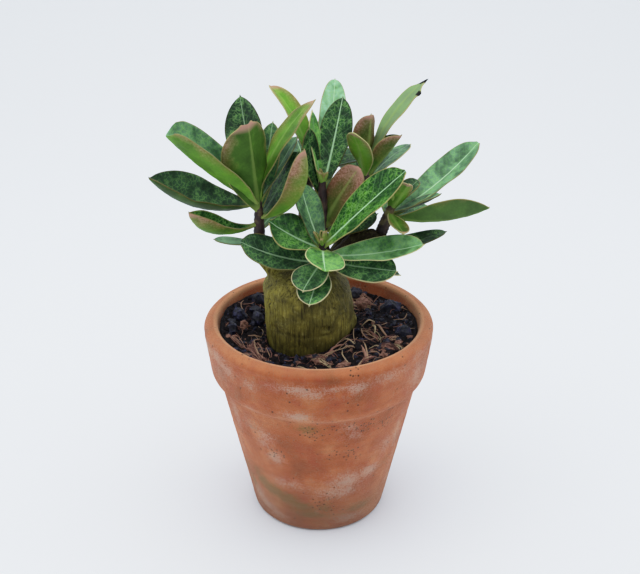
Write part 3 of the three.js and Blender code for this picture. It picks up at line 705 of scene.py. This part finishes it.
# a shoot: its branch's end, its top, and its leaves. A leaf: height of its root above the shoot's foot, heading,
# rise, length, width, fold at the rib, cupping, arch, roll, taper, how blunt its end is, then its looks from 0
# to 1: bright, blush, painted sheen (a painted reflection), margin (dark to cream) and rib. One with a roll near
# 180 is turned over, and its fold, cupping and arch change sign, so that its underside is what shows
shoots = {
    "shoot_left": {"foot": (-32, -2, 163), "top": (-32, -3, 192), "leaves": [
        (27, 200, 42, 63, 33, 28, 38, -16, -14, 0.3, 0.72, 0.55, 0.45, 0.45, 0.55, 0.2),
        (28, 180, 13, 64.6, 32, 29, 40, -88, -15, 0.57, 0, 0.08, 0.2, 0.15, 0.4, 0.1),
        (16, 221, 21, 53, 20, 35, 53, -95, -22, 0.78, 0, 0.45, 0.64, 0, 0.5, 0.1),
        (3, 172, 3, 25, 7, 6, 17, -5, -13, 0.5, 0, 0.5, 0, 0.9, 0.5, 0.1),
        (25, 108, 57, 61, 23, 15, 24, -1, -30, 0.76, 0, 0, 0.2, 0.05, 0.15, 0.5),
        (21, 260, 72, 57, 32, 17, 20, -2, 49, 0.58, 0.31, 0.3, 0.5, 0.05, 0.7, 0.15),
        (29, 27, 56, 61, 19, -4, -6, -40, 175, 0.8, 0, 0.5, 0.55, 0, 0.6, 0.2),
        (27, 47, 45, 42, 13, 15, 16, -3, -8, 0.56, 0, 0.1, 0.3, 0.5, 0.5, 0.5),
        (17, 27, 55, 42, 16, 0, 5, -7, 3, 0.34, 0, 0.1, 0.3, 0.1, 0.3, 0.2),
        (19, 322, 54, 60, 20, 42, 25, -90, 16, 0.5, 0, 0.6, 0.85, 0.2, 0.6, 0.2),
        (20, 70, 64, 50, 14, 6, 12, -7, 6, 0.6, 0, 0.3, 0.3, 0.2, 0.6, 0.6),
        (11, 65, 5, 40, 18, 15, 20, 20, 0, 0.5, 0, 0.3, 0.2, 0.3, 0.6, 0.6)]},
    "shoot_front": {"foot": (2, -13, 153), "top": (2, -14, 172), "leaves": [
        (16, 0, 45, 60, 27, 4, 19, 5, 19, 0.51, 0.17, 0.5, 0.2, 0, 0.7, 1),
        (11, -2, 8, 54, 20, 5, 35, -23, 19, 0.5, 0, 0.95, 0.3, 0.6, 0.85, 0.9),
        (15, 273, -3, 24, 22, 0, 29, -9, -15, 0.25, 0.31, 0.95, 0.4, 0.3, 1, 0.9),
        (15, 173, 27, 32, 23, 10, 19, -32, -35, 0.74, 0.16, 0.5, 0.2, 0.05, 0.7, 0.7),
        (14, 124, 56, 38, 18, 15, 10, -19, 7, 0.5, 0, 0.2, 0.2, 0.3, 0.3, 0.8),
        (8, -12, -3, 40, 20, 5, 20, -10, 35, 0.5, 0, 0.1, 0.2, 0.1, 0.85, 0.5),
        (5, 2, -8, 42, 12, 10, 10, 10, 0, 0.5, 0, 0.25, 0.3, 0.1, 0.8, 0.5),
        (7, 16, 8, 71, 15, 6, 17, -14, 5, 0.5, 0, 0, 0.6, 0.1, 0.4, 0.2),
        (7, 184, 17, 46, 20, 6, 13, -46, -34, 0.41, 0.31, 0.1, 0.1, 0.12, 0.5, 0.6),
        (7, 247, -12, 26, 20, 5, 15, 20, 0, 0.5, 0, 0.2, 0.1, 0.15, 1, 0.7),
        (3, 256, -15, 29, 18, 5, 15, 20, 0, 0.5, 0, 0.4, 0.2, 0.15, 1, 0.8)]},
    "shoot_middle": {"foot": (2, 5, 170), "top": (2, 8, 199), "leaves": [
        (23, 68, 56, 53, 18, 4, 11, -15, 8, 0.63, 0, 0.2, 0.1, 0.05, 0.3, 0.9),
        (18, 135, 75, 40, 15, 4, 6, -36, 7, 0.67, 0, 0, 0.8, 0, 0.5, 0.1),
        (18, 82, 46, 74, 16, 9, 14, 16, 18, 0.5, 0, 0.95, 0.1, 1.15, 0.6, 0.6),
        (3, 1, 60, 39, 19, -4, -6, -16, 228, 0.32, 0.24, 0.25, 0.92, 0, 0.5, 0.1),
        (23, 105, 61, 44, 12, 6, 12, -13, 43, 0.8, 0, 0.95, 0.2, 0.2, 0.9, 0.3),
        (2, 3, 15, 31, 19, 4, 8, -30, 20, 0.41, 0, 0, 0.2, 0, 0.3, 0.2)]},
    "shoot_right": {"foot": (34, 1, 172), "top": (40, 0, 190), "leaves": [
        (9, 26, 31, 66, 21, 14, 19, -29, 9, 0.45, 0.2, 0.6, 0.2, 0.62, 0.55, 1),
        (10, -10, 9, 55, 26, 28, 31, -38, -28, 0.83, 0, 0.25, 0.4, 0.52, 0.6, 0.2),
        (12, 3, 20, 29, 11, 10, 15, -20, -6, 0.5, 0, 0.15, 0.3, 0.5, 0.5, 0.3),
        (12, 322, 58, 22, 13, 20, 20, 0, -40, 0.5, 0, 0.5, 0.55, 0, 0.8, 0.2),
        (12, 288, -11, 21, 12, -10, -15, 12, 164, 0.5, 0, 0.4, 0.6, 0, 0.8, 0.2),
        (16, 36, 30, 21, 11, 20, 20, 10, 20, 0.5, 0, 0.05, 0.2, 0.1, 0.5, 0.3),
        (9, 85, 10, 46, 17, 15, 20, 15, 0, 0.5, 0, 0.3, 0.3, 0.2, 0.6, 0.6),
        (5, 45, -5, 42, 17, 15, 20, 20, 0, 0.5, 0, 0.25, 0.3, 0.2, 0.6, 0.6)]},
    "shoot_back_right": {"foot": (23, 21, 182), "top": (27, 24, 202), "leaves": [
        (20, 26, 51, 58, 12.5, -4, -6, -42, 184, 0.66, 0, 0.4, 0.15, 0.65, 0.7, 0.3),
        (16, 301, 84, 34, 18, 22, 24, 3, 4, 0.51, 0, 0.3, 0.85, 0.1, 0.6, 0.1),
        (13, 0, 52, 31, 18, 42, 34, -4, -11, 0.77, 0, 0.3, 0.75, 0, 0.6, 0.1),
        (13, 246, 60, 36, 16, 0, 5, 24, -14, 0.64, 0, 0.72, 0.6, 0.1, 0.8, 0.2),
        (7, 33, 32, 38, 14, 2, 10, 30, -5, 0.52, 0, 0.1, 0.4, 0.45, 0.8, 0.5),
        (12, 75, 12, 40, 19, 15, 20, 15, 0, 0.5, 0, 0.4, 0.3, 0.2, 0.6, 0.6),
        (8, 115, 12, 42, 19, 15, 20, 20, 0, 0.5, 0, 0.3, 0.3, 0.2, 0.6, 0.6)]},
    "shoot_back_left": {"foot": (-7, 22, 182), "top": (-5, 24, 204), "leaves": [
        (19, 136, 53, 51, 19, -12, -13, -43, 195, 0.5, 0, 0.7, 0.6, 0, 0.8, 0.3),
        (13, 100, 12, 41, 19, 15, 20, 15, 0, 0.5, 0, 0.4, 0.3, 0.2, 0.6, 0.6),
        (9, 160, 8, 44, 18, 15, 20, 20, 0, 0.5, 0, 0.3, 0.3, 0.2, 0.6, 0.6),
        (16, 70, 25, 42, 17, 15, 20, 15, 0, 0.5, 0, 0.4, 0.3, 0.3, 0.6, 0.6),
        (14, 12, 14, 30, 16, 10, 15, 10, 0, 0.5, 0, 0.1, 0.3, 0.1, 0.4, 0.3)]},
}
burntLeaf = ("shoot_back_right", 0)  # its end has died back and dried black


def leafHalfWidth(t, width, taper, blunt):
    # t runs from 0 at the root to 1 at the tip, and a little beyond for the cusp
    swell = taper * leafForm["widest"] / (1 - leafForm["widest"])
    most = leafForm["widest"] ** swell * (1 - leafForm["widest"]) ** taper
    end = leafForm["tipHalf"] + blunt * width / 2
    if t > 1:
        return end * (0.3 if blunt == 0 else 0.6)
    least = leafForm["rootHalf"] + (end - leafForm["rootHalf"]) * t
    bow = width / 2 * t ** swell * (1 - t) ** taper / most
    if blunt == 0:
        return max(least, bow)
    return (least ** 6 + bow ** 6) ** (1 / 6) * (1 - 0.25 * max(0, (t - 0.93) / 0.07) ** 2)


def leafShell(root, leaf, seed, burnt=0):
    # a closed shell: a grid of stations and lanes above and one below, joined round the edge
    heading, rise, length, width, fold, cup, arch, roll, taper, blunt, *look = leaf
    pick = random.Random(seed)
    h, r, a = (math.radians(v) for v in (heading, rise, roll))
    along = np.array([math.cos(r) * math.cos(h), math.cos(r) * math.sin(h), math.sin(r)])
    level = np.array([math.sin(h), -math.cos(h), 0])
    side = level * math.cos(a) + np.cross(along, level) * math.sin(a)
    upper = np.cross(side, along)
    bend = math.radians(arch) or 1e-3
    phases = [pick.uniform(0, 2 * math.pi) for _ in range(4)]
    wave = pick.uniform(*leafForm["ruffle"]) * min(1, width / 18)
    reach = np.linspace(-1, 1, leafForm["lanes"])
    lanes = np.sign(reach) * np.abs(reach) ** 0.8
    stations = [1 - (1 - k / (leafForm["stations"] - 1)) ** 1.25 for k in range(leafForm["stations"])]
    stations.append(1 + leafForm["cusp"] * min(1, length / 30) * (1 if blunt == 0 else 0.4) / length)
    rows = []
    for t in stations:
        turn = bend * (0.5 - t)
        middle = root + along * length * (math.sin(bend / 2) - math.sin(turn)) / bend \
            + upper * length * (math.cos(turn) - math.cos(bend / 2)) / bend
        normal = upper * math.cos(turn) - along * math.sin(turn)
        half = leafHalfWidth(t, width, taper, blunt) * (1 - 0.5 * burnt * min(1, max(0, (t - 0.86) / 0.07)))
        flake = 2.2 * burnt * math.exp(-((t - 0.83) / 0.03) ** 2)
        opened = min(1, 0.4 + 3 * t)
        run = t * length
        row = []
        for lane in lanes:
            out, y = abs(lane), lane * half
            slope = math.radians(fold * min(1, out / 0.12) + cup * out / 2) * opened
            tilt = math.radians(fold * min(1, out / 0.12) + cup * out) * opened
            face = normal * math.cos(tilt) - side * np.sign(lane) * math.sin(tilt)
            tip = math.sin(math.pi * min(1, 1.1 * t)) if t < 1 else 0
            ruffle = wave * out ** 2 * math.sin(run / 3.4 + phases[0 if lane < 0 else 1]) * max(0, tip)
            ruffle += 0.35 * out * math.sin(run / 9 + phases[2]) * math.sin(math.pi * min(1, t))
            vein = (run - abs(y) * leafForm["veinSlant"]) / leafForm["veinGap"]
            quilt = leafForm["quilt"] * abs(math.sin(math.pi * vein)) * min(1, abs(y) / 2) * (1 - out ** 4) \
                * min(1, 4 * t)
            blister = leafForm["blister"] * grain(run, y, seed * 7.3, 3.2) * min(1, 4 * t) * (1 - out ** 6)
            dying = t - 0.92 + 0.02 * lane + 0.04 * grain(run, y, seed, 2)
            dead = burnt * max(min(1, max(0, dying / 0.02)), flake / 2.2 if lane < -0.75 else 0)
            spread = half * lane - (flake * max(0, -lane - 0.8) / 0.2)
            row.append((middle + side * spread * math.cos(slope) + normal * half * out * math.sin(slope)
                        + face * (ruffle + quilt + blister), face, run, y, out, t, half - abs(y), dead))
        rows.append(row)
    points, marks = [], {name: [] for name in leafMarks}
    for upside in (1, -1):
        for row in rows:
            for spot, face, run, y, out, t, inset, dead in row:
                petiole = max(0, 1 - t / 0.14)
                body = leafForm["thick"] + (leafForm["rootThick"] - leafForm["thick"]) * petiole
                body *= 1 - (0.5 + 0.3 * petiole) * out ** 3
                if t > 1:
                    body *= 0.35
                broad = 0.6 if upside > 0 else 0.7 + 0.9 * max(0, 1 - t)
                ridge = math.exp(-(y / broad) ** 2) * max(0, 1 - t) ** 0.6 * min(1, 6 * t)
                extra = -0.1 * ridge if upside > 0 else 0.6 * ridge
                points.append(spot + face * upside * (body / 2 + extra))
                numbers = (run, y, seed * 7.3), (t, out, inset), look[:3], (*look[3:], dead)
                for name, three in zip(leafMarks, numbers):
                    marks[name].append(three)
    shell, picks = [], []
    count, cols = len(rows), len(lanes)
    under = count * cols
    for i in range(count - 1):
        for j in range(cols - 1):
            k = i * cols + j
            shell += [(k, k + 1, k + cols + 1, k + cols),
                      (under + k, under + k + cols, under + k + cols + 1, under + k + 1)]
            picks += [0, 1]
    edge = list(range(cols)) + [i * cols + cols - 1 for i in range(1, count)]
    edge += [(count - 1) * cols + j for j in range(cols - 2, -1, -1)] + [i * cols for i in range(count - 2, 0, -1)]
    for here, there in zip(edge, edge[1:] + edge[:1]):
        shell.append((here, under + here, under + there, there))
        picks.append(0)
    return points, shell, picks, marks


def leafMaterial(name, settings):
    # its tree, and the marks on its points
    material, tree, _ = newMaterial(name, settings)
    places, place = pointMarks(tree, leafMarks[0])
    return material, tree, places, place, *(pointMarks(tree, mark)[1] for mark in leafMarks[1:])


def marginLayers(tree, mark, trim, widest):
    # thin margin, brown to cream, then the black of dead tissue
    edgeTone = addNode(tree, "ValToRGB", {0: trim[0], "stops": [
        (0, "#1d1a0e"), (0.4, "#5d5227"), (0.7, "#b1a566"), (1, "#dccf9e")]})
    return [(mark[2], widest * 0.35, widest, 0.75, 0, edgeTone), (trim[2], 0.3, 0.6, 0, 1, "#15120f")]


def ribDistance(tree, place, mark, atRoot, atTip):
    # how far out from the rib, and that over the rib's half width, which narrows from root to tip
    outY = addNode(tree, "Math", {"operation": "ABSOLUTE", 0: place[1]})
    ribHalf = addNode(tree, "MapRange", {0: mark[0], 1: 0, 2: 1, 3: atRoot, 4: atTip})
    return outY, addNode(tree, "Math", {"operation": "DIVIDE", 0: outY, 1: ribHalf})


# leaf, upper face: waxed and glossy over deep green, mottled over 2 mm and 7 mm, with a pale rib and a thin margin.
# Its scales are to the millimetre, because it follows the place on the leaf
leafUpper, tree, places, place, mark, look, trim = leafMaterial("waxyLeafUpper", {"Specular IOR Level": 0.15})
bright, blush, paintedSheen = look
mottle = addNode(tree, "TexNoise", {"Scale": 0.62, "Detail": 4, "Roughness": 0.65, "Distortion": 0.6,
                                    "Vector": places})
patches = addNode(tree, "TexNoise", {"Scale": 0.14, "Detail": 2, "Distortion": 0.4, "Vector": places})
bendy = addNode(tree, "TexNoise", {"Scale": 0.45, "Detail": 2, "Vector": places}).outputs["Color"]
bent = addNode(tree, "VectorMath", {"operation": "MULTIPLY_ADD", 0: bendy, 1: (3, 3, 3), 2: places})
cells = addNode(tree, "TexVoronoi", {"feature": "DISTANCE_TO_EDGE", "Scale": 0.42, "Vector": bent})
shade = weightedSum(tree, [(bright, 0.3), (patches, 0.55), (mottle, 0.5), (cells, -0.28)], 0.01)
green = addNode(tree, "ValToRGB", {0: shade, "stops": [
    (0.42, "#0b2412"), (0.54, "#163b19"), (0.66, "#27591c"), (0.8, "#4f8f20"), (0.94, "#86bc38")]})
# a pale net round dark cells of 1 to 3 mm: the small veins, where the skin over them is thin, and painted glints on
# the puckered skin
netLine = addNode(tree, "MapRange", {0: cells, 1: 0.0, 2: 0.13, 3: 0.5, 4: 0})
netPatch = addNode(tree, "MapRange", {0: patches, 1: 0.4, 2: 0.6, 3: 0.1, 4: 1})
veinNetAndGlints = addNode(tree, "Math", {"operation": "MULTIPLY", 0: netLine, 1: netPatch})
blushed = addNode(tree, "MapRange", {0: blush, 1: 0.85, 2: 0.95})
outY, ribAway = ribDistance(tree, place, mark, 1.15, 0.3)
slant = weightedSum(tree, [(mottle, 1.6), (outY, -leafForm["veinSlant"])], place[0])
veinRun = addNode(tree, "Math", {"operation": "DIVIDE", 0: slant, 1: leafForm["veinGap"]})
veinAway = addNode(tree, "Math", {"operation": "PINGPONG", 0: veinRun, 1: 0.5})
veinFine = addNode(tree, "MapRange", {0: veinAway, 1: 0.02, 2: 0.09, 3: 0.2, 4: 0})
veinLine = addNode(tree, "Math", {"operation": "MULTIPLY", 0: veinFine, 1: trim[1]})
skin = layPaint(tree, green, [
    # pale mint patches as strong as the leaf's painted sheen: a painted reflection of the bright tent on the wax
    (patches, 0.35, 0.62, 0.25, 0.85, "#98c9a3", paintedSheen),
    # the pale net: small veins and painted glints
    (veinNetAndGlints, 0, 1, 0, 1, "#86b866"),
    (mark[0], 0.93, 0.99, 0, 0.75, "#b07f6e", blushed),
    (veinLine, 0, 1, 0, 1, "#7fae78"),
    (ribAway, 0.4, 0.85, 0.95, 0, "#b5dcae", trim[1]),
    *marginLayers(tree, mark, trim, 0.5),
    (mark[0], 0.05, 0.15, 0.85, 0, "#8fa24c")])
surface(tree, skin, weightedSum(tree, [(veinLine, -0.6), (veinNetAndGlints, 0.5)], mottle), 0.6, 0.5)
gloss = addNode(tree, "MapRange", {0: mottle, 1: 0.3, 2: 0.7, 3: 0.3, 4: 0.48})
tree.links.new(outOf(gloss), tree.nodes["Principled BSDF"].inputs["Roughness"])

# leaf, underside: matt and even, flushed pink-brown from the tip and margin inwards, with a paler rib
leafUnder, tree, places, place, mark, look, trim = leafMaterial("leafUnderside", {
    "Specular IOR Level": 0.1, "Roughness": 0.55})
bright, blush, paintedSheen = look
mottle = addNode(tree, "TexNoise", {"Scale": 0.9, "Detail": 4, "Roughness": 0.6, "Vector": places})
patches = addNode(tree, "TexNoise", {"Scale": 0.1, "Detail": 2, "Vector": places})
shade = weightedSum(tree, [(bright, 0.5), (patches, 0.4), (mottle, 0.18)], 0)
green = addNode(tree, "ValToRGB", {0: shade, "stops": [
    (0.3, "#2b4516"), (0.45, "#426522"), (0.6, "#5e8f2b"), (0.75, "#7db336")]})
outSquare = addNode(tree, "Math", {"operation": "MULTIPLY", 0: mark[1], 1: mark[1]})
flush = weightedSum(tree, [(blush, 1.05), (mark[0], 0.45), (outSquare, 0.45)], patches)
flush = weightedSum(tree, [(flush, 1), (mottle, 0.12)], 0.06)
flushDepth = weightedSum(tree, [(mark[0], 0.42), (mottle, 0.6)], -0.08)
flushTone = addNode(tree, "ValToRGB", {0: flushDepth, "stops": [
    (0.36, "#65402f"), (0.5, "#845442"), (0.64, "#ab7f70")]})
blushed = addNode(tree, "MapRange", {0: blush, 1: 0.45, 2: 0.5})
skin = layPaint(tree, green, [
    # pale grey-green as strong as the leaf's painted sheen: a painted reflection
    (paintedSheen, 0.5, 0.7, 0, 0.7, "#93ab83"),
    (flush, 1.62, 2.2, 0, 0.9, flushTone),
    (ribDistance(tree, place, mark, 2.2, 0.5)[1], 0.3, 1.0, 0.35, 0, "#93ab58"),
    (mark[0], 0.92, 0.98, 0, 0.85, "#b58878", blushed),
    *marginLayers(tree, mark, trim, 0.55),
    (mark[0], 0.05, 0.15, 0.8, 0, "#93a653")])
surface(tree, skin, mottle, 0.3, 0.3)

# young stem: brown-purple skin over green, blotched every 6 mm or so by the pale scars of fallen leaves
stemSkin, tree, place = newMaterial("youngStemSkin", {"Roughness": 0.55, "Specular IOR Level": 0.3})
blotch = addNode(tree, "TexNoise", {"Scale": 160, "Detail": 4, "Vector": place})
tone = addNode(tree, "ValToRGB", {0: blotch, "stops": [
    (0.35, "#1f1416"), (0.5, "#3a2825"), (0.6, "#5a4a33"), (0.7, "#7a7445")]})
surface(tree, tone, blotch, 0.5, 0.6)

for number, (node, shoot) in enumerate(shoots.items()):
    foot, top = np.array(shoot["foot"], float), np.array(shoot["top"], float)
    tall = np.linalg.norm(top - foot)
    up = (top - foot) / tall
    steps = leafForm["stemSteps"]
    path = [foot + up * 0.3 + (top - foot - up * 0.3) * k / (steps - 1) for k in range(steps)]
    radii = [leafForm["stem"] * (1 - 0.5 * (k / (steps - 1)) ** 2) + 0.16 * math.sin(k * 1.9) for k in range(steps)]
    points, faces = loft(tubeRings(path, radii, leafForm["stemSides"]))
    points, faces, picks = list(points), list(faces), [2] * len(faces)
    marks = {name: [(0, 0, 9)] * len(points) for name in leafMarks}
    made = [leafShell(foot + up * leaf[0], leaf[1:], 20 * number + count + 1, (node, count) == burntLeaf)
            for count, leaf in enumerate(shoot["leaves"])]
    pick = random.Random(number)
    for count in range(leafForm["budLeaves"]):  # the bud at the top, its leaves still folded
        small = (pick.uniform(0, 60) + 72 * count, pick.uniform(50, 80), pick.uniform(5, 9), pick.uniform(2.6, 3.8),
                 40, 40, -30, 0, 0.5, 0, 0.7, 0.85, 0.0, 0.6, 0.3)
        made.append(leafShell(foot + up * (tall - 1.2), small, 300 + 20 * number + count))
    for shellPoints, shell, shellPicks, shellMarks in made:
        addShape(points, faces, shellPoints, shell)
        picks += shellPicks
        for name, values in shellMarks.items():
            marks[name] += values
    keepPiece(node.replace("_", "") + "Leaves", points, faces, [leafUpper, leafUnder, stemSkin], [node],
              marks, picks)
print("leaves done")
